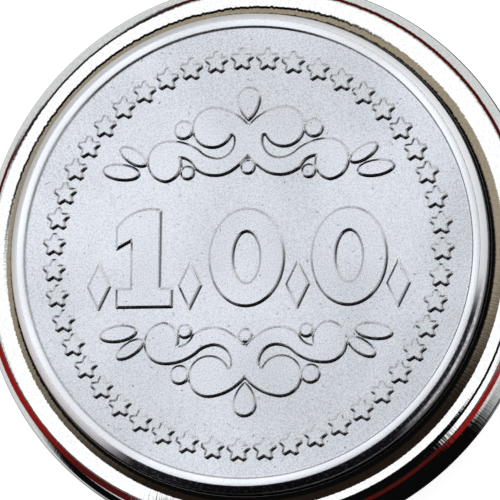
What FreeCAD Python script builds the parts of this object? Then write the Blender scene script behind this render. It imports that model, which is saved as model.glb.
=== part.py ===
import FreeCAD, Part
import math
import os

import Sketcher
from FreeCAD import Rotation, Vector

# A struck fare token that sits in a round polished holder. All sizes are in millimetres.
# +Z is up, out of the token's face, +Y is the top of the struck design, and the origin is
# the centre of the flat base that the holder rests on.

DIMENSIONS = {
    # The holder's outside: a rounded ring, widest at its equator, flat underneath.
    "equator_radius": 14.75,
    "equator_height": 1.7,
    "section_radius": 2.5,
    "lip_radius": 12.6071,
    "lip_height": 4.1744,
    "lip_shoulder": 4.1249,
    "lip_rounding": 0.05,
    "foot_radius": 13.85,
    "foot_rounding": 0.5,
    "foot_edge_radius": 14.25,
    "foot_edge_height": 0.2,
    # The spigot on the back shell that the bezel ring presses over.
    "bore_radius": 12.55,
    "counterbore_radius": 13.12,
    "counterbore_top": 3.05,
    "spigot_outer_radius": 13.1,
    "spigot_top": 3.0,
    "floor_top": 1.2,
    # The round hole in the back that a fingertip pushes the token out through.
    "push_hole_radius": 6.0,
    "push_hole_mouth_radius": 6.4,
    "push_hole_rounding": 0.4,
    # The plate that the token lies on, and the magnets bedded in its underside.
    "plate_radius": 12.51,
    "seat_height": 3.25,
    "magnet_pitch_radius": 9.2,
    "magnet_radius": 2.0,
    "magnet_pocket_radius": 2.03,
    "magnet_thickness": 1.5,
    "magnet_pocket_depth": 1.52,
    # The token, measured from its own underside.
    "token_radius": 12.5,
    "token_thickness": 1.85,
    "rim_face_radius": 12.15,
    "rim_inner_radius": 11.74,
    "edge_bottom": 0.31,
    "edge_top": 1.54,
    "field_bottom": 0.16,
    "field_top": 1.69,
    "relief_height": 0.15,
    # The ring of small stars, struck a little low of the token's centre.
    "star_ring_radius": 10.18,
    "star_ring_drop": 0.13,
    "star_radius": 0.57,
    "back_star_radius": 3.6,
}

STAR_COUNT = 47
STAR_RING_START = 92.3
STAR_WAIST = 0.6
STAR_TIP_HALF_ANGLE = 8
MAGNET_COUNT = 4
MAGNET_START = 45.0

DIGIT_BASELINE = -2.85
DIGIT_HEIGHT = 5.05
DIGIT_PITCH = 5.35
LOZENGE_PLACES = (-7.75, -2.95, 2.68, 7.92)
LOZENGE_CENTRE_HEIGHT = -1.75
LOZENGE_HALF_WIDTH = 0.58
LOZENGE_HALF_HEIGHT = 1.2


def make_sheet(doc):
    """Keep the driving dimensions in a spreadsheet, one named cell each."""
    sheet = doc.addObject("Spreadsheet::Sheet", "dims")
    for row, (alias, value) in enumerate(DIMENSIONS.items(), start=1):
        sheet.set(f"A{row}", alias.replace("_", " "))
        sheet.set(f"B{row}", str(value))
        sheet.setAlias(f"B{row}", alias)
    doc.recompute()


def value_of(alias):
    """Give a cell's number, or zero for a point on the axis or the base."""
    return DIMENSIONS[alias] if alias else 0.0


def new_sketch(body, name, plane_role, height=None):
    """Add a sketch on one of the body's own origin planes, raised to a named height."""
    sketch = body.newObject("Sketcher::SketchObject", name)
    plane = next(feature for feature in body.Origin.OriginFeatures if feature.Role == plane_role)
    sketch.AttachmentSupport = [(plane, "")]
    sketch.MapMode = "FlatFace"
    if height:
        sketch.setExpression("AttachmentOffset.Base.z", f"dims.{height}")
    return sketch


# ---------------------------------------------------------------------------
# Turned profiles: closed outlines of straight edges and arcs, held by cells
# ---------------------------------------------------------------------------

def add_arc(sketch, start, end, radius):
    """Add the arc from start to end that turns left, and say which of its ends is which."""
    chord = end - start
    half = chord.Length / 2
    inward = Vector(-chord.y, chord.x, 0).normalize()
    centre = (start + end) / 2 + inward * math.sqrt(max(radius ** 2 - half ** 2, 0))
    first = math.atan2(start.y - centre.y, start.x - centre.x)
    last = math.atan2(end.y - centre.y, end.x - centre.x)
    circle = Part.Circle(centre, Vector(0, 0, 1), radius)
    return sketch.addGeometry(Part.ArcOfCircle(circle, first, last))


def hold_size(sketch, constraint, alias):
    """Add a constraint and bind its size to a cell."""
    index = sketch.addConstraint(constraint)
    if alias:
        sketch.setExpression(f"Constraints[{index}]", f"dims.{alias}")


def pin_corner(sketch, edge, across, up):
    """Hold an edge's first point at the radius and height that two cells give."""
    hold_size(sketch, Sketcher.Constraint("DistanceX", -1, 1, edge, 1, value_of(across)), across)
    hold_size(sketch, Sketcher.Constraint("DistanceY", -1, 1, edge, 1, value_of(up)), up)


def draw_profile(sketch, corners):
    """Draw a closed outline, anticlockwise, from corners of (radius, height, rounding).

    The rounding names the radius of the arc that leaves the corner; None is a straight edge.
    """
    points = [Vector(value_of(across), value_of(up), 0) for across, up, _ in corners]
    edges = []
    for index, (_, _, rounding) in enumerate(corners):
        start = points[index]
        end = points[(index + 1) % len(points)]
        if rounding:
            edges.append(add_arc(sketch, start, end, value_of(rounding)))
        else:
            edges.append(sketch.addGeometry(Part.LineSegment(start, end)))
    for index, (across, up, rounding) in enumerate(corners):
        following = edges[(index + 1) % len(edges)]
        sketch.addConstraint(Sketcher.Constraint("Coincident", edges[index], 2, following, 1))
        pin_corner(sketch, edges[index], across, up)
        if rounding:
            hold_size(sketch, Sketcher.Constraint("Radius", edges[index], value_of(rounding)), rounding)


def turned_body(doc, name, corners):
    """Make a body by turning one profile round the Z axis."""
    body = doc.addObject("PartDesign::Body", name)
    sketch = new_sketch(body, name + "_profile", "XZ_Plane")
    draw_profile(sketch, corners)
    turned = body.newObject("PartDesign::Revolution", name + "_turned")
    turned.Profile = sketch
    turned.ReferenceAxis = (sketch, ["V_Axis"])
    turned.Angle = 360
    body.Tip = turned
    doc.recompute()
    return body


# ---------------------------------------------------------------------------
# The holder
# ---------------------------------------------------------------------------

def make_bezel_ring(doc):
    """Make the polished upper ring: one round section from its lip down to the equator."""
    return turned_body(doc, "bezel_ring", [
        ("counterbore_radius", "equator_height", None),
        ("equator_radius", "equator_height", "section_radius"),
        ("lip_radius", "lip_height", "lip_rounding"),
        ("bore_radius", "lip_shoulder", None),
        ("bore_radius", "counterbore_top", None),
        ("counterbore_radius", "counterbore_top", None),
    ])


def make_back_shell(doc):
    """Make the lower shell: flat annular base, rounded foot, spigot and push-out hole."""
    return turned_body(doc, "back_shell", [
        ("push_hole_mouth_radius", None, None),
        ("foot_radius", None, "foot_rounding"),
        ("foot_edge_radius", "foot_edge_height", "section_radius"),
        ("equator_radius", "equator_height", None),
        ("spigot_outer_radius", "equator_height", None),
        ("spigot_outer_radius", "spigot_top", None),
        ("bore_radius", "spigot_top", None),
        ("bore_radius", "floor_top", None),
        ("push_hole_radius", "floor_top", None),
        ("push_hole_radius", "push_hole_rounding", "push_hole_rounding"),
    ])


def make_seat_plate(doc):
    """Make the plate under the token, with blind magnet pockets in its underside."""
    body = turned_body(doc, "seat_plate", [
        ("push_hole_radius", "floor_top", None),
        ("plate_radius", "floor_top", None),
        ("plate_radius", "seat_height", None),
        ("push_hole_radius", "seat_height", None),
    ])
    sketch = new_sketch(body, "magnet_pocket_circle", "XY_Plane", "floor_top")
    angle = math.radians(MAGNET_START)
    centre = Vector(math.cos(angle), math.sin(angle), 0) * value_of("magnet_pitch_radius")
    circle = sketch.addGeometry(Part.Circle(centre, Vector(0, 0, 1), value_of("magnet_pocket_radius")))
    hold_size(sketch, Sketcher.Constraint("Radius", circle, value_of("magnet_pocket_radius")),
              "magnet_pocket_radius")
    for kind, share in (("DistanceX", math.cos(angle)), ("DistanceY", math.sin(angle))):
        index = sketch.addConstraint(Sketcher.Constraint(kind, -1, 1, circle, 3, centre.Length * share))
        sketch.setExpression(f"Constraints[{index}]", f"dims.magnet_pitch_radius * {share:.9f}")
    pocket = body.newObject("PartDesign::Pocket", "magnet_pocket")
    pocket.Profile = sketch
    pocket.Reversed = True
    pocket.setExpression("Length", "dims.magnet_pocket_depth")
    body.Tip = pocket
    doc.recompute()
    pattern = body.newObject("PartDesign::PolarPattern", "magnet_pockets")
    pattern.Originals = [pocket]
    pattern.Axis = (sketch, ["N_Axis"])
    pattern.Angle = 360
    pattern.Occurrences = MAGNET_COUNT
    body.Tip = pattern
    doc.recompute()
    return body


def make_magnets(doc):
    """Make the disc magnets, one in each pocket of the plate."""
    magnets = []
    for number in range(MAGNET_COUNT):
        angle = MAGNET_START + number * 360 / MAGNET_COUNT
        magnet = doc.addObject("Part::Cylinder", f"magnet_{number + 1}")
        magnet.setExpression("Radius", "dims.magnet_radius")
        magnet.setExpression("Height", "dims.magnet_thickness")
        magnet.setExpression("Placement.Base.x", f"dims.magnet_pitch_radius * cos({angle} deg)")
        magnet.setExpression("Placement.Base.y", f"dims.magnet_pitch_radius * sin({angle} deg)")
        magnet.setExpression("Placement.Base.z", "dims.floor_top")
        magnets.append(magnet)
    return magnets


# ---------------------------------------------------------------------------
# The struck design, as flat outlines on the token's field
# ---------------------------------------------------------------------------

def add_polygon(sketch, points):
    """Add a closed outline of straight edges."""
    for start, end in zip(points, points[1:] + points[:1]):
        sketch.addGeometry(Part.LineSegment(Vector(*start), Vector(*end)))


def add_ellipse(sketch, centre, long_half, short_half, tilt=0.0):
    """Add an oval whose long half-axis is turned from +X by tilt degrees."""
    turn = Rotation(Vector(0, 0, 1), tilt)
    middle = Vector(*centre)
    major = middle + turn.multVec(Vector(long_half, 0, 0))
    minor = middle + turn.multVec(Vector(0, short_half, 0))
    sketch.addGeometry(Part.Ellipse(major, minor, middle))


def add_circle(sketch, centre, radius):
    """Add a full circle."""
    sketch.addGeometry(Part.Circle(Vector(*centre), Vector(0, 0, 1), radius))


def add_arc_chain(sketch, start, arcs, flip_x=1, flip_y=1):
    """Add arcs end to end, each given by a point it passes and its end point."""
    point = Vector(start[0] * flip_x, start[1] * flip_y, 0)
    for via, end in arcs:
        middle = Vector(via[0] * flip_x, via[1] * flip_y, 0)
        finish = Vector(end[0] * flip_x, end[1] * flip_y, 0)
        sketch.addGeometry(Part.Arc(point, middle, finish))
        point = finish


def star_points(centre_x, centre_y, radius):
    """Give the corners of an upright five-point star with blunted tips."""
    places = []
    for point in range(5):
        tip = 90 + point * 72
        places.append((radius, tip - STAR_TIP_HALF_ANGLE))
        places.append((radius, tip + STAR_TIP_HALF_ANGLE))
        places.append((radius * STAR_WAIST, tip + 36))
    corners = []
    for reach, degrees in places:
        angle = math.radians(degrees)
        corners.append((centre_x + reach * math.cos(angle), centre_y + reach * math.sin(angle), 0))
    return corners


def draw_star_ring(sketch):
    """Draw the ring of small stars, all upright."""
    for number in range(STAR_COUNT):
        angle = math.radians(STAR_RING_START + number * 360 / STAR_COUNT)
        centre_x = value_of("star_ring_radius") * math.cos(angle)
        centre_y = value_of("star_ring_radius") * math.sin(angle) - value_of("star_ring_drop")
        add_polygon(sketch, star_points(centre_x, centre_y, value_of("star_radius")))


def draw_scroll(sketch, flip_y):
    """Draw one scroll: an upper and a lower bulb each side, joined by S-shaped arms."""
    valley = (0, 6.52)
    half_outline = [
        ((0.78, 7.2), (1.8, 7.52)),
        ((2.66, 5.78), (0.92, 6.06)),
        ((0.78, 6.04), (0.72, 5.9)),
        ((0.95, 5.15), (1.65, 4.85)),
        ((2.15, 4.97), (2.6, 5.28)),
        ((3.35, 5.68), (4.25, 5.8)),
        ((5.27, 4.72), (4.3, 3.68)),
        ((3.7, 4.05), (3.6, 4.93)),
        ((3.1, 4.78), (2.75, 4.35)),
        ((1.65, 3.96), (0.72, 4.3)),
        ((0.33, 4.62), (0, 4.97)),
    ]
    for flip_x in (1, -1):
        add_arc_chain(sketch, valley, half_outline, flip_x, flip_y)


def draw_scroll_trimmings(sketch, flip_y):
    """Draw the dots, ovals and teardrop that go with one scroll."""
    add_circle(sketch, (0, 4.38 * flip_y, 0), 0.34)
    for flip_x in (1, -1):
        add_circle(sketch, (3.42 * flip_x, 6.38 * flip_y, 0), 0.46)
        add_circle(sketch, (3.18 * flip_x, 4.13 * flip_y, 0), 0.33)
        lean = flip_x * flip_y
        add_ellipse(sketch, (6.68 * flip_x, 4.22 * flip_y, 0), 0.95, 0.4, 8 * lean)
        add_ellipse(sketch, (6.05 * flip_x, 5.03 * flip_y, 0), 0.8, 0.34, 33 * lean)
    teardrop = [
        ((0.42, 7.38), (0.57, 7.95)),
        ((0, 8.54), (-0.57, 7.95)),
        ((-0.42, 7.38), (0, 6.84)),
    ]
    add_arc_chain(sketch, (0, 6.84), teardrop, 1, flip_y)


def draw_digit_one(sketch, centre_x):
    """Draw a plain slab-footed 1."""
    outline = [(-1.45, 0), (1.45, 0), (1.45, 0.95), (0.8, 0.95), (0.8, DIGIT_HEIGHT), (-0.25, DIGIT_HEIGHT),
               (-1.5, 4.15), (-1.5, 3.05), (-0.7, 3.5), (-0.7, 0.95), (-1.45, 0.95)]
    add_polygon(sketch, [(centre_x + across, DIGIT_BASELINE + up, 0) for across, up in outline])


def draw_digit_zero(sketch, centre_x):
    """Draw a plain oval 0 with its counter."""
    centre = Vector(centre_x, DIGIT_BASELINE + DIGIT_HEIGHT / 2, 0)
    for half_width, half_height in ((1.95, DIGIT_HEIGHT / 2), (0.72, 1.35)):
        top = centre + Vector(0, half_height, 0)
        side = centre + Vector(half_width, 0, 0)
        sketch.addGeometry(Part.Ellipse(top, side, centre))


def draw_lozenge(sketch, centre_x, centre_y):
    """Draw an upright lozenge."""
    right = (centre_x + LOZENGE_HALF_WIDTH, centre_y, 0)
    top = (centre_x, centre_y + LOZENGE_HALF_HEIGHT, 0)
    left = (centre_x - LOZENGE_HALF_WIDTH, centre_y, 0)
    bottom = (centre_x, centre_y - LOZENGE_HALF_HEIGHT, 0)
    add_polygon(sketch, [right, top, left, bottom])


def draw_value_row(sketch):
    """Draw the plain numerals and the lozenges between them."""
    draw_digit_one(sketch, -DIGIT_PITCH)
    draw_digit_zero(sketch, 0)
    draw_digit_zero(sketch, DIGIT_PITCH)
    for centre_x in LOZENGE_PLACES:
        draw_lozenge(sketch, centre_x, LOZENGE_CENTRE_HEIGHT)


# ---------------------------------------------------------------------------
# The token
# ---------------------------------------------------------------------------

def raise_relief(body, sketch, downward=False):
    """Raise a sketch's outlines from the field by the relief height."""
    relief = body.newObject("PartDesign::Pad", sketch.Name + "_relief")
    relief.Profile = sketch
    relief.Reversed = downward
    relief.setExpression("Length", "dims.relief_height")
    body.Tip = relief


def make_token(doc):
    """Make the token: a rimmed blank, struck on both faces."""
    body = turned_body(doc, "token", [
        (None, "field_bottom", None),
        ("rim_inner_radius", "field_bottom", None),
        ("rim_inner_radius", None, None),
        ("rim_face_radius", None, None),
        ("token_radius", "edge_bottom", None),
        ("token_radius", "edge_top", None),
        ("rim_face_radius", "token_thickness", None),
        ("rim_inner_radius", "token_thickness", None),
        ("rim_inner_radius", "field_top", None),
        (None, "field_top", None),
    ])
    body.setExpression("Placement.Base.z", "dims.seat_height")
    scrolls = new_sketch(body, "scrollwork", "XY_Plane", "field_top")
    for flip_y in (1, -1):
        draw_scroll(scrolls, flip_y)
        draw_scroll_trimmings(scrolls, flip_y)
    raise_relief(body, scrolls)
    values = new_sketch(body, "value_row", "XY_Plane", "field_top")
    draw_value_row(values)
    raise_relief(body, values)
    stars = new_sketch(body, "star_ring", "XY_Plane", "field_top")
    draw_star_ring(stars)
    raise_relief(body, stars)
    back_star = new_sketch(body, "back_star", "XY_Plane", "field_bottom")
    add_polygon(back_star, star_points(0, 0, value_of("back_star_radius")))
    raise_relief(body, back_star, downward=True)
    doc.recompute()
    return body


def check_document(doc):
    """Stop if any object failed or was left out of the last recompute."""
    for item in doc.Objects:
        problems = [state for state in item.State if state in ("Invalid", "Error")]
        if problems:
            raise RuntimeError(f"{item.Label}: {problems}")


def export_parts(parts):
    """Check each sub-part's shape and write it to parts/NAME.step."""
    os.makedirs("parts", exist_ok=True)
    for part in parts:
        shape = part.Shape
        if shape.isNull() or not shape.isValid() or len(shape.Solids) != 1:
            raise RuntimeError(f"{part.Label}: the shape isn't one valid solid")
        shape.exportStep(os.path.join("parts", part.Label + ".step"))
        print(f"{part.Label}: volume {shape.Volume:.2f} mm3")


def main():
    """Build the document, check it and write every sub-part."""
    doc = FreeCAD.newDocument("fare_token")
    make_sheet(doc)
    parts = [make_bezel_ring(doc), make_back_shell(doc), make_seat_plate(doc)]
    parts += make_magnets(doc)
    parts.append(make_token(doc))
    doc.recompute()
    check_document(doc)
    export_parts(parts)


main()
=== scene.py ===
"""A struck fare token that stands a little proud of its round polished holder, seen from near above."""

import math

import bmesh
import bpy
import numpy as np
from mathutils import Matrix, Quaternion, Vector
from mathutils.geometry import delaunay_2d_cdt
from mathutils.kdtree import KDTree


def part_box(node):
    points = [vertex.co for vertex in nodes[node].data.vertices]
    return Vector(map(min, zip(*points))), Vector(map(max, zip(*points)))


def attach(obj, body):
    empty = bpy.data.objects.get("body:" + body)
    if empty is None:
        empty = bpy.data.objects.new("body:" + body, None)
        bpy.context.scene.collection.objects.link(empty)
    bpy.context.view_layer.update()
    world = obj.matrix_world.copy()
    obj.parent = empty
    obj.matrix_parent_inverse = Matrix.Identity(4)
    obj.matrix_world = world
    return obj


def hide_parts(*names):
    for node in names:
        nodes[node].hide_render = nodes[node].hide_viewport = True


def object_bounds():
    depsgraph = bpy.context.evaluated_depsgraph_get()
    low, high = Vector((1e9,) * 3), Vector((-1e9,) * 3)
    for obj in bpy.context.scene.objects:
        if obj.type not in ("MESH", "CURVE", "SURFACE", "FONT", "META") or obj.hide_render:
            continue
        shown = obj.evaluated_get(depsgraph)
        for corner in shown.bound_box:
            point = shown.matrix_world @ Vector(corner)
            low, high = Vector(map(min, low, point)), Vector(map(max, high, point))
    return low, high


MM = 0.001
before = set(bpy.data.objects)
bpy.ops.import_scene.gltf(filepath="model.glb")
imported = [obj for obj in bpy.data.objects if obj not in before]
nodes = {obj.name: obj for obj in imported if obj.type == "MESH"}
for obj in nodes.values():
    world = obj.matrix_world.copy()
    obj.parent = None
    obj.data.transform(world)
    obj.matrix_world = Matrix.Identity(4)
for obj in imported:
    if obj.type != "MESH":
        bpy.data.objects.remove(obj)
cad_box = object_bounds()

# Lathe work: how finely the turned pieces are divided, round the axis and along the section.
TURNS_MIRROR = 720
TURNS_TOKEN = 480
ARC_STEP = math.radians(5)
BROAD_STEPS = 12
FLAT_STEPS = 6
WALL_STEPS = 4
SHORT_STEPS = 3
LEDGE_STEPS = 2
CORNER_STEPS = 4

# The blank's rim, in millimetres.
RIM_WALL_RADIUS = 11.74
RIM_WALL_HALF_RUN = 0.04
RIM_WALL_EASE = 0.015
CHAMFER_WIDTH = 0.35
CHAMFER_HEIGHT = 0.31
CHAMFER_EASE = 0.02

# The struck faces, in millimetres. The wall rows are the distances from an outline at which the
# mesh has points: three at the top of the wall, one half way down and three at its foot.
FACE_RADIUS = 11.6
RELIEF_BELOW_RIM = 0.01
RELIEF_HEIGHT = 0.15
WALL_HALF_RUN = 0.07
WALL_EASE = 0.05
WALL_ROWS = (-0.079, -0.07, -0.062, 0.0, 0.062, 0.07, 0.079)
OUTLINE_SPACING = 0.07
FIELD_SPACING = 0.5
CORNER_TURN = math.radians(40)
FAN_STEP = math.radians(25)

# How far apart two points may be and still count as the same, in millimetres.
SAME_HEIGHT = 0.002
SAME_PLACE = 1e-5
SAME_CORNER = 1e-7
SAME_DISTANCE = 0.004
WELD = 1e-4

# How much nearer, in millimetres, an outline has to be to count as the nearer one.
NEARER = 1e-9

# How much of a face's normal has to point up or down for it to count as a flat one.
FACES_FLAT = 0.9


# ---------------------------------------------------------------------------
# Mesh helpers
# ---------------------------------------------------------------------------

def new_piece(name, mesh, body, stands_for):
    """Show a finished mesh in place of a CAD node, riding on that node's body."""
    piece = bpy.data.objects.new(name, mesh)
    bpy.context.scene.collection.objects.link(piece)
    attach(piece, body)
    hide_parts(stands_for)
    return piece


def shade_smooth(mesh):
    """Shade every face of a mesh smoothly."""
    mesh.polygons.foreach_set("use_smooth", [True] * len(mesh.polygons))
    mesh.update()


def arc(centre, radius, start_degrees, end_degrees):
    """Points of an arc in a turned profile, from one angle to another, ends included."""
    sweep = math.radians(end_degrees - start_degrees)
    steps = max(2, math.ceil(abs(sweep) / ARC_STEP))
    points = []
    for step in range(steps + 1):
        angle = math.radians(start_degrees) + sweep * step / steps
        points.append((centre[0] + radius * math.cos(angle), centre[1] + radius * math.sin(angle)))
    return points


def run(start, end, steps):
    """Evenly spaced points from start to end, both included."""
    shares = [step / steps for step in range(steps + 1)]
    return [(start[0] + (end[0] - start[0]) * s, start[1] + (end[1] - start[1]) * s) for s in shares]


def joined(*stretches):
    """One list of profile points, without the points where two stretches meet twice."""
    points = []
    for stretch in stretches:
        for point in stretch:
            if not points or math.dist(points[-1], point) > SAME_PLACE:
                points.append(point)
    return points


def turn_profile(shape, profile, turns, closed=True):
    """Turn a profile of (radius, height) in millimetres round the Z axis, into a bmesh."""
    rows = []
    for radius, height in profile:
        row = []
        for turn in range(turns):
            angle = 2 * math.pi * turn / turns
            row.append(shape.verts.new((radius * MM * math.cos(angle), radius * MM * math.sin(angle),
                                        height * MM)))
        rows.append(row)
    pairs = list(zip(rows, rows[1:] + rows[:1])) if closed else list(zip(rows, rows[1:]))
    for below, above in pairs:
        for turn in range(turns):
            following = (turn + 1) % turns
            shape.faces.new((below[turn], below[following], above[following], above[turn]))


def mesh_from(shape, name):
    """Finish a bmesh: consistent outward faces, smooth shading."""
    bmesh.ops.recalc_face_normals(shape, faces=shape.faces)
    mesh = bpy.data.meshes.new(name)
    shape.to_mesh(mesh)
    shape.free()
    shade_smooth(mesh)
    return mesh


# ---------------------------------------------------------------------------
# The holder's polished ring and shell
# ---------------------------------------------------------------------------

EQUATOR_RADIUS = cad_box[1].x / MM
EQUATOR_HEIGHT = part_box("bezel_ring")[0].z / MM
SECTION_RADIUS = 2.5
SECTION_CENTRE = (EQUATOR_RADIUS - SECTION_RADIUS, EQUATOR_HEIGHT)
SEAM_BREAK = 0.05
FOOT_ROUNDING = 0.5
BORE_RADIUS = 12.55
LIP_ROUNDING = 0.05
COUNTERBORE_RADIUS = 13.12
COUNTERBORE_TOP = 3.05
SPIGOT_RADIUS = 13.1
PUSH_HOLE_ROUNDING = 0.4


def rounding_into_section(offset, rounding):
    """Height above the section's centre, and angle, of a small arc that rolls into the big one."""
    reach = SECTION_RADIUS - rounding
    rise = math.sqrt(reach ** 2 - offset ** 2)
    return rise, math.degrees(math.atan2(rise, offset))


def bezel_profile():
    """The ring's section: one round crown from seam to lip, the bore and the counterbore."""
    lip_centre = BORE_RADIUS + LIP_ROUNDING
    rise, lip_angle = rounding_into_section(lip_centre - SECTION_CENTRE[0], LIP_ROUNDING)
    seam_angle = math.degrees(SEAM_BREAK / SECTION_RADIUS)
    lip = arc((lip_centre, EQUATOR_HEIGHT + rise), LIP_ROUNDING, lip_angle, 180)
    return joined(
        run((COUNTERBORE_RADIUS, EQUATOR_HEIGHT), (EQUATOR_RADIUS - SEAM_BREAK, EQUATOR_HEIGHT), FLAT_STEPS),
        arc(SECTION_CENTRE, SECTION_RADIUS, seam_angle, lip_angle),
        lip,
        run(lip[-1], (BORE_RADIUS, COUNTERBORE_TOP), WALL_STEPS),
        run((BORE_RADIUS, COUNTERBORE_TOP), (COUNTERBORE_RADIUS, COUNTERBORE_TOP), LEDGE_STEPS),
        run((COUNTERBORE_RADIUS, COUNTERBORE_TOP), (COUNTERBORE_RADIUS, EQUATOR_HEIGHT), WALL_STEPS)[:-1],
    )


def shell_profile():
    """The lower shell's section: flat base, rounded foot, equator, spigot and push-out hole."""
    spigot_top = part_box("back_shell")[1].z / MM
    floor_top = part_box("seat_plate")[0].z / MM
    hole = push_hole_radius()
    foot_reach = SECTION_RADIUS - FOOT_ROUNDING
    foot_offset = math.sqrt(foot_reach ** 2 - (EQUATOR_HEIGHT - FOOT_ROUNDING) ** 2)
    foot_radius = SECTION_CENTRE[0] + foot_offset
    foot_angle = math.degrees(math.atan2(FOOT_ROUNDING - EQUATOR_HEIGHT, foot_offset))
    seam_angle = math.degrees(SEAM_BREAK / SECTION_RADIUS)
    return joined(
        run((hole + PUSH_HOLE_ROUNDING, 0), (foot_radius, 0), BROAD_STEPS),
        arc((foot_radius, FOOT_ROUNDING), FOOT_ROUNDING, -90, foot_angle),
        arc(SECTION_CENTRE, SECTION_RADIUS, foot_angle, -seam_angle),
        run((EQUATOR_RADIUS - SEAM_BREAK, EQUATOR_HEIGHT), (SPIGOT_RADIUS, EQUATOR_HEIGHT), SHORT_STEPS),
        run((SPIGOT_RADIUS, EQUATOR_HEIGHT), (SPIGOT_RADIUS, spigot_top), SHORT_STEPS),
        run((SPIGOT_RADIUS, spigot_top), (BORE_RADIUS, spigot_top), LEDGE_STEPS),
        run((BORE_RADIUS, spigot_top), (BORE_RADIUS, floor_top), WALL_STEPS),
        run((BORE_RADIUS, floor_top), (hole, floor_top), BROAD_STEPS),
        run((hole, floor_top), (hole, PUSH_HOLE_ROUNDING), SHORT_STEPS),
        arc((hole + PUSH_HOLE_ROUNDING, PUSH_HOLE_ROUNDING), PUSH_HOLE_ROUNDING, 180, 270)[:-1],
    )


def push_hole_radius():
    """The hole's radius, read from the plate's innermost points."""
    points = [vertex.co for vertex in nodes["seat_plate"].data.vertices]
    return min(math.hypot(point.x, point.y) for point in points) / MM


def make_holder_skin(chrome):
    """Make the fine turned meshes that stand for the bezel ring and the back shell."""
    for name, profile in (("bezel_ring", bezel_profile()), ("back_shell", shell_profile())):
        shape = bmesh.new()
        turn_profile(shape, profile, TURNS_MIRROR)
        mesh = mesh_from(shape, name + "_skin")
        piece = new_piece(name + "_skin", mesh, "holder", name)
        piece.data.materials.append(chrome)


# ---------------------------------------------------------------------------
# The token's struck faces
# ---------------------------------------------------------------------------

def flat_outlines(node, height, facing):
    """Closed outlines, in millimetres, of a CAD node's flat faces at one height.

    Facing is 1 for faces that look up and -1 for faces that look down. The metal lies on the
    left of every outline, seen from above.
    """
    mesh = node.data
    edges = set()
    for polygon in mesh.polygons:
        corners = [mesh.vertices[index].co / MM for index in polygon.vertices]
        level = all(abs(corner.z - height) <= SAME_HEIGHT for corner in corners)
        if not level or polygon.normal.z * facing < FACES_FLAT:
            continue
        keys = [(round(corner.x, 4), round(corner.y, 4)) for corner in corners][::facing]
        edges.update(zip(keys, keys[1:] + keys[:1]))
    following = {start: end for start, end in edges if (end, start) not in edges}
    outlines = []
    while following:
        start = min(following)
        outline = [start]
        while following[outline[-1]] != start:
            outline.append(following[outline[-1]])
        for point in outline:
            del following[point]
        outlines.append(np.array(outline))
    return outlines


def turn_angles(points):
    """How far a closed outline turns at each of its points, to the left, in radians."""
    before = points - np.roll(points, 1, axis=0)
    after = np.roll(points, -1, axis=0) - points
    cross = before[:, 0] * after[:, 1] - before[:, 1] * after[:, 0]
    return np.arctan2(cross, (before * after).sum(1))


def stretch_tangents(points, closed):
    """Unit tangents along a stretch of points, as if it were made of arcs."""
    chords = np.diff(np.vstack([points, points[:1]]) if closed else points, axis=0)
    lengths = np.linalg.norm(chords, axis=1, keepdims=True)
    unit = chords / lengths
    if closed:
        unit_before = np.roll(unit, 1, axis=0)
        length_before = np.roll(lengths, 1, axis=0)
        inner = (unit_before * lengths + unit * length_before) / (lengths + length_before)
    else:
        middle = (unit[:-1] * lengths[1:] + unit[1:] * lengths[:-1]) / (lengths[:-1] + lengths[1:])
        if len(unit) == 1:
            return np.vstack([unit, unit])
        first = 2 * unit[0] * (unit[0] @ middle[0]) - middle[0]
        last = 2 * unit[-1] * (unit[-1] @ middle[-1]) - middle[-1]
        inner = np.vstack([first, middle, last])
    return inner / np.linalg.norm(inner, axis=1, keepdims=True)


def resample(points, closed):
    """Evenly spaced points and tangents along the smooth curve through a stretch of points."""
    tangents = stretch_tangents(points, closed)
    if closed:
        points = np.vstack([points, points[:1]])
        tangents = np.vstack([tangents, tangents[:1]])
    places, directions = [], []
    for index in range(len(points) - 1):
        start, end = points[index], points[index + 1]
        length = np.linalg.norm(end - start)
        steps = max(1, math.ceil(length / OUTLINE_SPACING))
        share = (np.arange(steps) / steps)[:, None]
        reach = length * tangents[index], length * tangents[index + 1]
        square, cube = share ** 2, share ** 3
        places.append((2 * cube - 3 * square + 1) * start + (cube - 2 * square + share) * reach[0]
                      + (3 * square - 2 * cube) * end + (cube - square) * reach[1])
        directions.append((6 * square - 6 * share) * (start - end) + (3 * square - 4 * share + 1) * reach[0]
                          + (3 * square - 2 * share) * reach[1])
    places = np.vstack(places)
    directions = np.vstack(directions)
    return places, directions / np.linalg.norm(directions, axis=1, keepdims=True), tangents[-1]


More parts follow.
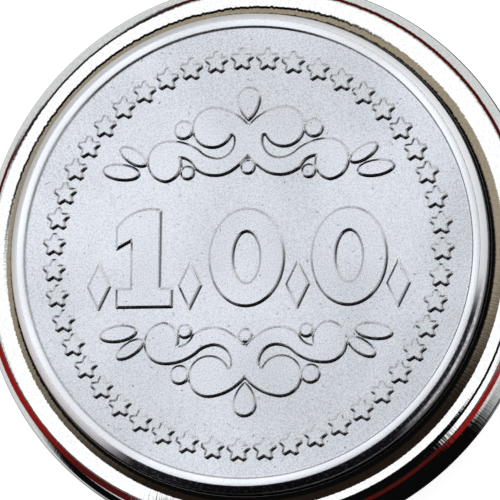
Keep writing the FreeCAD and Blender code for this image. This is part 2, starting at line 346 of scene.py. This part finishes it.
class Outlines:
    """The resampled outlines of a struck design, which answer how far a point lies outside them."""

    def __init__(self, loops):
        self.points = np.zeros((0, 2))
        self.arriving = np.zeros((0, 2))
        self.leaving = np.zeros((0, 2))
        self.before = np.zeros(0, int)
        self.after = np.zeros(0, int)
        for loop in loops:
            self.add_loop(loop)
        self.tree = KDTree(len(self.points))
        for index, point in enumerate(self.points):
            self.tree.insert((point[0], point[1], 0), index)
        self.tree.balance()

    def add_loop(self, loop):
        """Resample one closed outline between its corners, and keep both directions at each corner."""
        corners = np.flatnonzero(np.abs(turn_angles(loop)) > CORNER_TURN)
        if len(corners) == 0:
            places, leaving, _ = resample(loop, True)
            arriving = leaving
        else:
            loop = np.roll(loop, -corners[0], axis=0)
            corners = np.append(corners - corners[0], len(loop))
            loop = np.vstack([loop, loop[:1]])
            parts = [resample(loop[a:b + 1], False) for a, b in zip(corners, corners[1:])]
            places = np.vstack([part[0] for part in parts])
            leaving = np.vstack([part[1] for part in parts])
            arriving = leaving.copy()
            starts = np.cumsum([0] + [len(part[0]) for part in parts[:-1]])
            for number, start in enumerate(starts):
                arriving[start] = parts[number - 1][2]
        first = len(self.points)
        indices = np.arange(len(places))
        self.points = np.vstack([self.points, places])
        self.arriving = np.vstack([self.arriving, arriving])
        self.leaving = np.vstack([self.leaving, leaving])
        self.before = np.append(self.before, first + np.roll(indices, 1))
        self.after = np.append(self.after, first + np.roll(indices, -1))

    def distance(self, places):
        """Signed distance of each place from the nearest outline: negative on the metal's side."""
        nearest = np.array([self.tree.find((x, y, 0))[1] for x, y in places])
        best = np.full(len(places), np.inf)
        signed = np.zeros(len(places))
        for start, end in ((self.before[nearest], nearest), (nearest, self.after[nearest])):
            edge = self.points[end] - self.points[start]
            offset = places - self.points[start]
            share = np.clip((offset * edge).sum(1) / (edge * edge).sum(1), 0, 1)[:, None]
            length = np.linalg.norm(offset - share * edge, axis=1)
            side = np.sign(edge[:, 1] * offset[:, 0] - edge[:, 0] * offset[:, 1])
            closer = length < best - NEARER
            signed = np.where(closer, length * side, signed)
            best = np.minimum(best, length)
        at_corner = np.abs(np.linalg.norm(places - self.points[nearest], axis=1) - best) < SAME_CORNER
        turned = self.arriving[nearest] + self.leaving[nearest]
        outward = np.stack([turned[:, 1], -turned[:, 0]], axis=1)
        corner_side = np.sign(((places - self.points[nearest]) * outward).sum(1))
        return np.where(at_corner & (best > SAME_CORNER), best * corner_side, signed)

    def row(self, distance):
        """Points that run along every outline at one signed distance from it."""
        start = np.arctan2(-self.arriving[:, 0], self.arriving[:, 1])
        turn = np.arctan2(-self.leaving[:, 0], self.leaving[:, 1]) - start
        turn = (turn + math.pi) % (2 * math.pi) - math.pi
        made = []
        for point, angle, sweep in zip(self.points, start, turn):
            steps = math.ceil(abs(sweep) / FAN_STEP) if abs(sweep) > FAN_STEP else 0
            for step in range(steps + 1):
                way = angle + sweep * (step / steps if steps else 0.5)
                made.append((point[0] + distance * math.cos(way), point[1] + distance * math.sin(way)))
        made = np.array(made)
        error = np.abs(self.distance(made) - distance)
        return made[error < SAME_DISTANCE]


def field_lattice(outlines):
    """A coarse triangular lattice over the flat parts of a struck face."""
    reach = int(FACE_RADIUS / FIELD_SPACING) + 1
    places = []
    for row in range(-reach, reach + 1):
        for column in range(-reach, reach + 1):
            across = (column + 0.5 * (row % 2)) * FIELD_SPACING
            up = row * FIELD_SPACING * math.sqrt(0.75)
            if math.hypot(across, up) < FACE_RADIUS - FIELD_SPACING / 2:
                places.append((across, up))
    places = np.array(places)
    clear = np.abs(outlines.distance(places)) > FIELD_SPACING / 2
    return places[clear]


def drafted_wall(distance):
    """Share of the relief's height at a signed distance: a straight draft with eased ends."""
    share = np.clip((WALL_HALF_RUN - distance) / (2 * WALL_HALF_RUN), 0, 1)
    foot = share ** 2 / (2 * WALL_EASE * (1 - WALL_EASE))
    straight = (share - WALL_EASE / 2) / (1 - WALL_EASE)
    brow = 1 - (1 - share) ** 2 / (2 * WALL_EASE * (1 - WALL_EASE))
    return np.where(share < WALL_EASE, foot, np.where(share > 1 - WALL_EASE, brow, straight))


def add_struck_face(shape, outlines, field_height, facing):
    """Add one struck face to the token's bmesh: a flat field with softly drafted relief."""
    rim = [(FACE_RADIUS * math.cos(2 * math.pi * turn / TURNS_TOKEN),
            FACE_RADIUS * math.sin(2 * math.pi * turn / TURNS_TOKEN)) for turn in range(TURNS_TOKEN)]
    places = np.vstack([rim, field_lattice(outlines)] + [outlines.row(row) for row in WALL_ROWS])
    triangulated = delaunay_2d_cdt([Vector(place) for place in places], [], [], 0, WELD)
    flat, triangles = triangulated[0], triangulated[2]
    distance = outlines.distance(np.array([tuple(place) for place in flat]))
    height = field_height + facing * RELIEF_HEIGHT * drafted_wall(distance)
    corners = [shape.verts.new((place.x * MM, place.y * MM, up * MM)) for place, up in zip(flat, height)]
    for triangle in triangles:
        shape.faces.new([corners[index] for index in triangle])


def eased_corner(before, corner, after, reach):
    """Points that round a profile's corner, from one reach before it to one reach after it."""
    start = np.array(corner) + reach * (np.array(before) - corner) / math.dist(before, corner)
    end = np.array(corner) + reach * (np.array(after) - corner) / math.dist(after, corner)
    points = []
    for step in range(CORNER_STEPS + 1):
        share = step / CORNER_STEPS
        points.append(tuple((1 - share) ** 2 * start + 2 * share * (1 - share) * np.array(corner)
                            + share * share * end))
    return points


def token_profile(bottom, top, field_bottom, field_top):
    """The blank's section outside its struck faces: rim walls, borders, chamfers and edge."""
    edge_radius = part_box("token")[1].x / MM
    corners = [
        (FACE_RADIUS, field_bottom),
        (RIM_WALL_RADIUS - RIM_WALL_HALF_RUN, field_bottom),
        (RIM_WALL_RADIUS + RIM_WALL_HALF_RUN, bottom),
        (edge_radius - CHAMFER_WIDTH, bottom),
        (edge_radius, bottom + CHAMFER_HEIGHT),
        (edge_radius, top - CHAMFER_HEIGHT),
        (edge_radius - CHAMFER_WIDTH, top),
        (RIM_WALL_RADIUS + RIM_WALL_HALF_RUN, top),
        (RIM_WALL_RADIUS - RIM_WALL_HALF_RUN, field_top),
        (FACE_RADIUS, field_top),
    ]
    reaches = [RIM_WALL_EASE] * 2 + [CHAMFER_EASE] * 4 + [RIM_WALL_EASE] * 2
    rounded = [eased_corner(before, corner, after, reach)
               for before, corner, after, reach in zip(corners, corners[1:], corners[2:], reaches)]
    return joined(corners[:1], *rounded, corners[-1:])


def make_token(steel):
    """Make the struck token from the outlines of the CAD token's flat relief."""
    node = nodes["token"]
    low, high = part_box("token")
    bottom, top = low.z / MM, high.z / MM
    field_drop = RELIEF_HEIGHT + RELIEF_BELOW_RIM
    face = Outlines(flat_outlines(node, top - RELIEF_BELOW_RIM, 1))
    reverse = Outlines(flat_outlines(node, bottom + RELIEF_BELOW_RIM, -1))
    shape = bmesh.new()
    add_struck_face(shape, face, top - field_drop, 1)
    add_struck_face(shape, reverse, bottom + field_drop, -1)
    turn_profile(shape, token_profile(bottom, top, bottom + field_drop, top - field_drop), TURNS_TOKEN,
                 closed=False)
    bmesh.ops.remove_doubles(shape, verts=shape.verts, dist=WELD * MM)
    piece = new_piece("token_struck", mesh_from(shape, "token_struck"), "token", "token")
    piece.data.materials.append(steel)


# ---------------------------------------------------------------------------
# Materials
# ---------------------------------------------------------------------------

# Where zones of the token and of the ring begin and are full, in metres from the axis.
FIELD_ENDS = (0.01162, 0.01168)
RIM_BORDER = (0.01172, 0.01178)
CHAMFER = (0.01213, 0.01217)
CHAMFER_OUTER_HALF = (0.01232, 0.01238)
TOKEN_EDGE = (0.01246, 0.0125)
RING_LIP = (0.01261, 0.01267)

# How many features of each pattern there are to the metre.
STEEL_GRAIN = 12000
STEEL_CLOUD = 160
STEEL_PITS = 5200
SHADE_SPECKLE = 6000
SHADE_CLOUD = 5200
CHROME_MOTTLE = 7000
CHROME_SMEAR = 260
CHROME_WAVES = 400
PLATE_GRAIN = 3000
NICKEL_SMEAR = 1500

# How deep the patterns look, in metres, and how far the comb of the polish tips, in radians.
GRAIN_DEPTH = 3e-6
WAVE_DEPTH = 2e-6
STREAK_DEPTH = 5e-6
COMB_TIP_LEAST = 0.025
COMB_TIP_MOST = 0.085

# Metals, and the painted shade on them: on the token's chamfer and edge, in its rim's corner, low on its
# relief's walls and at the ring's lip.
STEEL_DULL = (0.72, 0.735, 0.76)
STEEL_BRIGHT = (0.75, 0.765, 0.79)
STEEL_GRAIN_SHADE = (0.56, 0.57, 0.6)
STEEL_PIT_SHADE = (0.30, 0.30, 0.33)
RUBBED_STEEL = (0.93, 0.94, 0.96)
EDGE_PAINTED_SHADE = (0.012, 0.012, 0.02)
GROOVE_PAINTED_SHADE = (0.03, 0.035, 0.05)
WALL_PAINTED_SHADE = (0.014, 0.014, 0.02)
CHROME_DULL = (0.82, 0.82, 0.81)
CHROME_BRIGHT = (0.98, 0.985, 0.99)
LIP_PAINTED_SHADE = (0.1, 0.08, 0.06)
PLATE_STEEL = (0.5, 0.5, 0.51)
NICKEL = (0.78, 0.76, 0.72)

# Which way the painted shade and the coarser polish lie, in degrees: an azimuth from +X, how far to each
# side of it they are full, and how far to each side they end.
CHAMFER_SHADE_SIDE = (293, 50, 62)
CHAMFER_UNSHADED_SIDE = (350, 30, 42)
GROOVE_PAINTED_SHADE_SIDE = (30, 40, 75)
WALL_SHADE_SIDE = (292, 56, 87)
COARSE_POLISH_SIDE = (125, 75, 115)


def add_node(tree, kind, sockets=None, **settings):
    """Add a node, with its settings, and with each named socket given a value or a link."""
    made = tree.nodes.new(kind)
    for key, value in settings.items():
        setattr(made, key, value)
    for key, value in (sockets or {}).items():
        if isinstance(value, bpy.types.NodeSocket):
            tree.links.new(value, made.inputs[key])
        else:
            made.inputs[key].default_value = value
    return made


def calculate(tree, operation, first, second=None):
    """Add a Math node and give its result."""
    sockets = {0: first} if second is None else {0: first, 1: second}
    return add_node(tree, "ShaderNodeMath", sockets, operation=operation).outputs[0]


def product(tree, *factors):
    """Multiply several values."""
    result = factors[0]
    for factor in factors[1:]:
        result = calculate(tree, "MULTIPLY", result, factor)
    return result


def new_material(name, roughness):
    """Start a metal material, and give it, its tree and its shader."""
    material = bpy.data.materials.new(name)
    material.use_nodes = True
    tree = material.node_tree
    shader = tree.nodes["Principled BSDF"]
    shader.inputs["Metallic"].default_value = 1.0
    shader.inputs["Roughness"].default_value = roughness
    return material, tree, shader


def noise(tree, place, scale, detail=2.0):
    """Noise over a place, with features a given number to the metre."""
    sockets = {"Vector": place, "Scale": scale, "Detail": detail}
    return add_node(tree, "ShaderNodeTexNoise", sockets).outputs["Fac"]


def ramp(tree, value, low, high, out_low, out_high):
    """Map a value smoothly from one range to another, and hold it beyond the ends."""
    sockets = {"Value": value, "From Min": low, "From Max": high, "To Min": out_low, "To Max": out_high}
    return add_node(tree, "ShaderNodeMapRange", sockets, interpolation_type="SMOOTHSTEP").outputs["Result"]


def object_place(tree):
    """The surface point in the object's own frame."""
    return add_node(tree, "ShaderNodeTexCoord").outputs["Object"]


def blend_colours(tree, share, first, second):
    """Mix two colours by a share."""
    mix = add_node(tree, "ShaderNodeMix", data_type="RGBA")
    for key, value in (("A", first), ("B", second)):
        socket = [item for item in mix.inputs if item.name == key and item.type == "RGBA"][0]
        if isinstance(value, bpy.types.NodeSocket):
            tree.links.new(value, socket)
        else:
            socket.default_value = (*value, 1)
    tree.links.new(share, mix.inputs[0])
    return [item for item in mix.outputs if item.type == "RGBA"][0]


def bump_from(tree, height, depth, below=None):
    """Turn a height pattern, with a depth in metres, into a shading normal."""
    sockets = {"Height": height, "Strength": 1.0, "Distance": depth}
    if below:
        sockets["Normal"] = below
    return add_node(tree, "ShaderNodeBump", sockets).outputs["Normal"]


def level_part(tree, vector):
    """A vector without its height."""
    return add_node(tree, "ShaderNodeVectorMath", {0: vector, 1: (1, 1, 0)}, operation="MULTIPLY").outputs[0]


def level_direction(tree, vector):
    """The unit vector, level, that a vector points along."""
    sockets = {0: level_part(tree, vector)}
    return add_node(tree, "ShaderNodeVectorMath", sockets, operation="NORMALIZE").outputs[0]


def level_length(tree, vector):
    """How long a vector is when seen from above: a surface point's distance from the Z axis."""
    sockets = {0: level_part(tree, vector)}
    return add_node(tree, "ShaderNodeVectorMath", sockets, operation="LENGTH").outputs["Value"]


def round_the_axis(tree, place, turns_scale, radius_scale):
    """Coordinates that go round the Z axis and out from it, without a seam."""
    sockets = {0: level_direction(tree, place), "Scale": turns_scale}
    round_part = add_node(tree, "ShaderNodeVectorMath", sockets, operation="SCALE").outputs[0]
    radius = product(tree, level_length(tree, place), radius_scale)
    out_part = add_node(tree, "ShaderNodeCombineXYZ", {2: radius}).outputs[0]
    return add_node(tree, "ShaderNodeVectorMath", {0: round_part, 1: out_part}, operation="ADD").outputs[0]


def direction(azimuth, zenith):
    """Unit vector at an azimuth from +X and an angle from straight up, in degrees."""
    a, z = math.radians(azimuth), math.radians(zenith)
    return Vector((math.sin(z) * math.cos(a), math.sin(z) * math.sin(a), math.cos(z)))


def round_sector(tree, vector, azimuth, full, none):
    """1 where a vector points near an azimuth, 0 far from it, smooth between two angles."""
    sockets = {0: level_direction(tree, vector), 1: direction(azimuth, 90)}
    facing = add_node(tree, "ShaderNodeVectorMath", sockets, operation="DOT_PRODUCT").outputs["Value"]
    return ramp(tree, facing, math.cos(math.radians(none)), math.cos(math.radians(full)), 0, 1)


def painted_chamfer_and_edge_shade(tree, place, radius):
    """Share of painted shade: a speckled dark band along one stretch of the chamfer, standing in for a dark
    reflection, and an even darkening of the edge, standing in for the shade of the gap round it.
    """
    speckle = ramp(tree, noise(tree, place, SHADE_SPECKLE, 3.0), 0.36, 0.46, 0.9, 0.985)
    chamfer = product(tree, ramp(tree, radius, *CHAMFER, 0, 1), speckle)
    stretch = round_sector(tree, place, *CHAMFER_SHADE_SIDE)
    cloud = noise(tree, place, SHADE_CLOUD, 3.0)
    patches = ramp(tree, cloud, 0.4, 0.6, 1, 0.55)
    # The chamfer's painted shade is lifted in patches on its outer half, on one side.
    unshaded = product(tree, ramp(tree, radius, *CHAMFER_OUTER_HALF, 0, 1),
                         round_sector(tree, place, *CHAMFER_UNSHADED_SIDE))
    shade_left = calculate(tree, "SUBTRACT", 1, product(tree, unshaded, patches))
    band = product(tree, chamfer, stretch, shade_left)
    # Painted shade of the gap: the whole edge darkened, a little unevenly.
    edge_darkening = ramp(tree, cloud, 0.35, 0.65, 0.93, 0.78)
    edge = product(tree, ramp(tree, radius, *TOKEN_EDGE, 0, 1), edge_darkening)
    return calculate(tree, "MAXIMUM", band, edge)


def painted_groove_shade(tree, place, radius):
    """Share of painted shade in the corner inside the rim, darker along one stretch of it."""
    off_groove = calculate(tree, "ABSOLUTE", calculate(tree, "SUBTRACT", radius, RIM_WALL_RADIUS * MM))
    groove = ramp(tree, off_groove, 0.01 * MM, 0.04 * MM, 1, 0)
    # Painted shade: stronger on the stretch that faces one azimuth.
    amount = ramp(tree, round_sector(tree, place, *GROOVE_PAINTED_SHADE_SIDE), 0, 1, 0.25, 0.8)
    return product(tree, groove, amount)


def painted_wall_shade(tree, place, radius):
    """Share of painted shade low on the relief's walls, on the walls that face one side."""
    low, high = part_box("token")
    middle = (low.z + high.z) / 2
    rim_rise = high.z - middle
    height = add_node(tree, "ShaderNodeSeparateXYZ", {0: place}).outputs["Z"]
    rise = calculate(tree, "ABSOLUTE", calculate(tree, "SUBTRACT", height, middle))
    low_down = ramp(tree, rise, rim_rise - 0.1 * MM, rim_rise - 0.03 * MM, 1, 0.25)
    normal = add_node(tree, "ShaderNodeTexCoord").outputs["Normal"]
    wall = ramp(tree, level_length(tree, normal), 0.4, 0.6, 0, 0.93)
    # Painted shade: only walls whose normals point towards one azimuth are darkened.
    shaded_side = round_sector(tree, normal, *WALL_SHADE_SIDE)
    inside_rim = ramp(tree, radius, *FIELD_ENDS, 1, 0)
    return product(tree, wall, low_down, inside_rim, shaded_side)


def struck_steel():
    """Satin struck steel: fine grain, faint cloudiness, dark pits, a rubbed rim, and painted shade on the
    chamfer, edge, rim corner and relief walls.
    """
    material, tree, shader = new_material("struck_steel", 0.3)
    place = object_place(tree)
    radius = level_length(tree, place)
    grain = noise(tree, place, STEEL_GRAIN, 3.0)
    cloud = noise(tree, place, STEEL_CLOUD, 2.0)
    colour = blend_colours(tree, ramp(tree, cloud, 0.3, 0.7, 0, 1), STEEL_DULL, STEEL_BRIGHT)
    pits = ramp(tree, noise(tree, place, STEEL_PITS, 3.0), 0.26, 0.33, 1, 0)
    for share, layer in (
        (ramp(tree, grain, 0.3, 0.62, 1, 0), STEEL_GRAIN_SHADE),
        (pits, STEEL_PIT_SHADE),
        (ramp(tree, radius, *RIM_BORDER, 0, 0.75), RUBBED_STEEL),
        # Painted shade: the chamfer and edge, the rim's inner corner and one side of the relief's walls.
        (painted_chamfer_and_edge_shade(tree, place, radius), EDGE_PAINTED_SHADE),
        (painted_groove_shade(tree, place, radius), GROOVE_PAINTED_SHADE),
        (painted_wall_shade(tree, place, radius), WALL_PAINTED_SHADE),
    ):
        colour = blend_colours(tree, share, colour, layer)
    tree.links.new(colour, shader.inputs["Base Color"])
    satin = ramp(tree, cloud, 0.3, 0.7, 0.21, 0.27)
    rough_chamfer = ramp(tree, radius, *CHAMFER, 0.2, 0.4)
    tree.links.new(calculate(tree, "MAXIMUM", satin, rough_chamfer), shader.inputs["Roughness"])
    tree.links.new(bump_from(tree, grain, GRAIN_DEPTH), shader.inputs["Normal"])
    return material


def lean_outwards(tree, place, normal, lean):
    """Tip a shading normal away from the Z axis by a small angle in radians."""
    sockets = {0: level_direction(tree, place), "Scale": lean}
    push = add_node(tree, "ShaderNodeVectorMath", sockets, operation="SCALE").outputs[0]
    tipped = add_node(tree, "ShaderNodeVectorMath", {0: normal, 1: push}, operation="ADD").outputs[0]
    return add_node(tree, "ShaderNodeVectorMath", {0: tipped}, operation="NORMALIZE").outputs[0]


def polished_chrome():
    """Mirror chrome plate: polishing streaks across the section, wipe marks, faint waviness and painted
    shade at the lip.
    """
    material, tree, shader = new_material("polished_chrome", 0.03)
    place = object_place(tree)
    mottle = ramp(tree, noise(tree, place, CHROME_MOTTLE, 2.0), 0.3, 0.7, 0, 1)
    plate = blend_colours(tree, mottle, CHROME_DULL, CHROME_BRIGHT)
    # Painted shade: the ring's lip darkened towards the gap round the token.
    lip_shade = ramp(tree, level_length(tree, place), *RING_LIP, 0.85, 0)
    tree.links.new(blend_colours(tree, lip_shade, plate, LIP_PAINTED_SHADE), shader.inputs["Base Color"])
    smear = noise(tree, place, CHROME_SMEAR, 3.0)
    tree.links.new(ramp(tree, smear, 0.45, 0.75, 0.02, 0.07), shader.inputs["Roughness"])
    waviness = bump_from(tree, noise(tree, place, CHROME_WAVES, 1.0), WAVE_DEPTH)
    streaks = noise(tree, round_the_axis(tree, place, 170, 900), 1.0, 2.0)
    streaked = bump_from(tree, streaks, STREAK_DEPTH, waviness)
    comb = noise(tree, round_the_axis(tree, place, 90, 60), 1.0, 3.0)
    coarse_side = round_sector(tree, place, *COARSE_POLISH_SIDE)
    tip = ramp(tree, coarse_side, 0, 1, COMB_TIP_LEAST, COMB_TIP_MOST)
    lean = product(tree, calculate(tree, "SUBTRACT", comb, 0.5), tip)
    tree.links.new(lean_outwards(tree, place, streaked, lean), shader.inputs["Normal"])
    return material


def turned_steel():
    """Plain turned steel for the plate that the token lies on."""
    material, tree, shader = new_material("turned_steel", 0.38)
    shader.inputs["Base Color"].default_value = (*PLATE_STEEL, 1)
    grain = noise(tree, object_place(tree), PLATE_GRAIN, 4.0)
    tree.links.new(ramp(tree, grain, 0.3, 0.7, 0.3, 0.5), shader.inputs["Roughness"])
    return material


def magnet_nickel():
    """Warm nickel plate for the magnets."""
    material, tree, shader = new_material("magnet_nickel", 0.2)
    shader.inputs["Base Color"].default_value = (*NICKEL, 1)
    smear = noise(tree, object_place(tree), NICKEL_SMEAR, 3.0)
    tree.links.new(ramp(tree, smear, 0.4, 0.7, 0.14, 0.3), shader.inputs["Roughness"])
    return material


def paint_node(name, material):
    """Give a CAD node a material in place of its own."""
    mesh = nodes[name].data
    mesh.materials.clear()
    mesh.materials.append(material)


# ---------------------------------------------------------------------------
# Studio: pale floor, white light tent with its openings, and the camera
# ---------------------------------------------------------------------------

# The camera: its lean from straight above and the azimuth that it leans towards, in degrees; its
# distance, slide, lens and sensor, in millimetres; the nearest and farthest it sees, in metres.
CAMERA_LEAN = 14.4
CAMERA_AZIMUTH = -39.0
CAMERA_DISTANCE = 257.0
CAMERA_SLIDE = (0.19, 0.036)
CAMERA_LENS = 360.4
CAMERA_SENSOR = 36
CAMERA_NEAREST = 0.01
CAMERA_FARTHEST = 10

# The floor lies a hair under the holder, by a gap in millimetres, so that the two flats never
# share a plane. Its half width is in metres. A faint glow keeps it as white as the background.
FLOOR_GAP = 0.01
FLOOR_HALF_WIDTH = 1.5
FLOOR_WHITE = (0.95, 0.95, 0.95)
FLOOR_ROUGHNESS = 0.9
FLOOR_GLOW = 0.65

# What the polished ring sees. Angles are in degrees: zenith from straight up, azimuth from +X.
BACKGROUND_WHITE = (1, 1, 1)
TENT_WHITE = (1.12, 1.13, 1.14)
KEY_LIGHT = (1.34, 1.375, 1.44)
FLOOR_GREY = (0.67, 0.69, 0.68)
FLOOR_SHADE = (0.08, 0.085, 0.085)
DIM_WALL = (0.3, 0.3, 0.3)
TAN = (0.34, 0.29, 0.21)
BROWN = (0.016, 0.01, 0.007)
BLACK = (0.003, 0.003, 0.003)
SOOT = (0.02, 0.012, 0.012)
DARK_RED = (0.07, 0.007, 0.006)
RED = (0.26, 0.012, 0.01)


class Studio:
    """The surroundings of the object, painted on the world as cards and bands of one colour each."""

    def __init__(self, tree):
        self.tree = tree
        self.place = add_node(tree, "ShaderNodeTexCoord").outputs["Generated"]
        height = add_node(tree, "ShaderNodeSeparateXYZ", {0: self.place}).outputs["Z"]
        self.zenith = calculate(tree, "ARCCOSINE", height)
        self.level = level_direction(tree, self.place)
        self.colour = blend_colours(tree, self.beyond(90, 0.4), TENT_WHITE, FLOOR_GREY)

    def beyond(self, angle, edge, axis=None):
        """1 more than an angle from straight up, or from another axis, and 0 nearer to it."""
        turned = self.zenith
        if axis:
            sockets = {0: self.place, 1: axis}
            facing = add_node(self.tree, "ShaderNodeVectorMath", sockets, operation="DOT_PRODUCT")
            turned = calculate(self.tree, "ARCCOSINE", facing.outputs["Value"])
        return ramp(self.tree, turned, math.radians(angle - edge), math.radians(angle + edge), 0, 1)

    def within(self, vector, axis, half_angle, edge):
        """1 within an angle of an axis, 0 outside."""
        facing = add_node(self.tree, "ShaderNodeVectorMath", {0: vector, 1: axis}, operation="DOT_PRODUCT")
        inner = math.cos(math.radians(max(half_angle - edge, 0)))
        outer = math.cos(math.radians(half_angle + edge))
        return ramp(self.tree, facing.outputs["Value"], outer, inner, 0, 1)

    def card(self, azimuth, zenith, half_angle, colour, edge=0.6):
        """Lay a round card."""
        share = self.within(self.place, direction(azimuth, zenith), half_angle, edge)
        self.colour = blend_colours(self.tree, share, self.colour, colour)

    def band(self, near, far, colour, azimuth=0, half_width=None, edge=0.8, side_edge=3.0, axis=None):
        """Lay a band between two angles from an axis, all round or to each side of one azimuth."""
        share = calculate(self.tree, "SUBTRACT", self.beyond(near, edge, axis), self.beyond(far, edge, axis))
        if half_width:
            side = self.within(self.level, direction(azimuth, 90), half_width, side_edge)
            share = product(self.tree, share, side)
        self.colour = blend_colours(self.tree, share, self.colour, colour)


def paint_far_horizon(studio):
    """Draw the thin dark and red line where the tent meets the table, on the side off the camera."""
    studio.band(94.5, 107, DARK_RED, 65, 55)
    studio.band(88, 96.5, SOOT, 134, 17)
    studio.band(92, 101, SOOT, 119, 5)
    studio.band(92, 101, SOOT, 149, 5)
    studio.band(98, 111, DARK_RED, 164, 14)


def paint_near_darkness(studio):
    """Darken the floor under the holder's flank, and the room on the camera's side."""
    studio.band(152, 180, FLOOR_SHADE)
    studio.band(112, 180, BLACK, 272, 58, side_edge=12)
    studio.band(57, 180, BLACK, 281, 45)
    studio.band(44, 60, BLACK, 251, 14, side_edge=5)


def paint_left_cloth(studio):
    """Hang the red cloth at the left, with a dark hem above and its shadow below."""
    axis = direction(119, 25)
    fades = studio.within(studio.level, direction(245, 90), 34, 8)
    studio.band(91, 111, blend_colours(studio.tree, fades, RED, DARK_RED), 207, 27, axis=axis)
    studio.band(88, 91, BLACK, 207, 27, axis=axis)
    studio.band(109, 142, BLACK, 227, 22, side_edge=5)


def paint_right_stripes(studio):
    """Stack the red, white and black stripes at the right, and the dim wall beyond them."""
    studio.band(81, 92, DARK_RED, 290, 32)
    studio.band(69.5, 84, TENT_WHITE, 340, 23)
    studio.band(84, 87, BLACK, 335, 21)
    studio.band(87, 102, RED, 338, 22)
    studio.band(63, 69.5, BLACK, 335, 25)
    studio.band(78, 100, DIM_WALL, 5, 22, side_edge=8)


def paint_opening_above(studio):
    """Open the tent overhead: a tan surround, a black rim to it, the black lens and the key light."""
    brown_side = studio.within(studio.level, direction(275, 90), 82, 30)
    studio.card(150, 4.5, 42, blend_colours(studio.tree, brown_side, TAN, BROWN))
    studio.band(41.5, 48.5, BLACK, 124, 42, side_edge=8, axis=direction(180, 6))
    studio.card(156, 9.2, 25.7, BLACK, edge=1.5)
    studio.card(144, 18.5, 11.5, KEY_LIGHT, edge=5)


def make_world():
    """Light the scene with a white tent, and show the camera a plain white background."""
    world = bpy.data.worlds.new("studio")
    bpy.context.scene.world = world
    world.use_nodes = True
    tree = world.node_tree
    tree.nodes.clear()
    studio = Studio(tree)
    paint_far_horizon(studio)
    paint_near_darkness(studio)
    paint_left_cloth(studio)
    paint_right_stripes(studio)
    paint_opening_above(studio)
    path = add_node(tree, "ShaderNodeLightPath")
    colour = blend_colours(tree, path.outputs["Is Camera Ray"], studio.colour, BACKGROUND_WHITE)
    background = add_node(tree, "ShaderNodeBackground", {"Color": colour, "Strength": 1.0})
    output = add_node(tree, "ShaderNodeOutputWorld")
    tree.links.new(background.outputs[0], output.inputs["Surface"])


def make_floor():
    """Lay a plain pale floor under the holder."""
    mesh = bpy.data.meshes.new("floor")
    half = FLOOR_HALF_WIDTH
    corners = [(-half, -half, 0), (half, -half, 0), (half, half, 0), (-half, half, 0)]
    mesh.from_pydata(corners, [], [(0, 1, 2, 3)])
    floor = bpy.data.objects.new("floor", mesh)
    bpy.context.scene.collection.objects.link(floor)
    floor.location.z = cad_box[0].z - FLOOR_GAP * MM
    floor.visible_glossy = False
    material = bpy.data.materials.new("floor_white")
    material.use_nodes = True
    shader = material.node_tree.nodes["Principled BSDF"]
    shader.inputs["Base Color"].default_value = (*FLOOR_WHITE, 1)
    shader.inputs["Roughness"].default_value = FLOOR_ROUGHNESS
    shader.inputs["Emission Color"].default_value = (*BACKGROUND_WHITE, 1)
    shader.inputs["Emission Strength"].default_value = FLOOR_GLOW
    mesh.materials.append(material)


def make_camera():
    """Set the camera a little off straight above, displaced towards the lower right."""
    face_centre = Vector((0, 0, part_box("token")[1].z))
    lean = math.radians(CAMERA_LEAN)
    azimuth = math.radians(CAMERA_AZIMUTH)
    turn = Quaternion((-math.sin(azimuth), math.cos(azimuth), 0), lean)
    data = bpy.data.cameras.new("camera")
    data.sensor_width = CAMERA_SENSOR
    data.lens = CAMERA_LENS
    data.clip_start = CAMERA_NEAREST
    data.clip_end = CAMERA_FARTHEST
    camera = bpy.data.objects.new("camera", data)
    bpy.context.scene.collection.objects.link(camera)
    offset = turn @ Vector((CAMERA_SLIDE[0], CAMERA_SLIDE[1], CAMERA_DISTANCE))
    camera.location = face_centre + offset * MM
    camera.rotation_mode = "QUATERNION"
    camera.rotation_quaternion = turn
    bpy.context.scene.camera = camera


def main():
    """Build the pieces, the studio and the camera."""
    make_holder_skin(polished_chrome())
    make_token(struck_steel())
    paint_node("seat_plate", turned_steel())
    for name in nodes:
        if name.startswith("magnet_"):
            paint_node(name, magnet_nickel())
    make_world()
    make_floor()
    make_camera()
    bpy.context.scene.view_settings.view_transform = "Standard"


main()
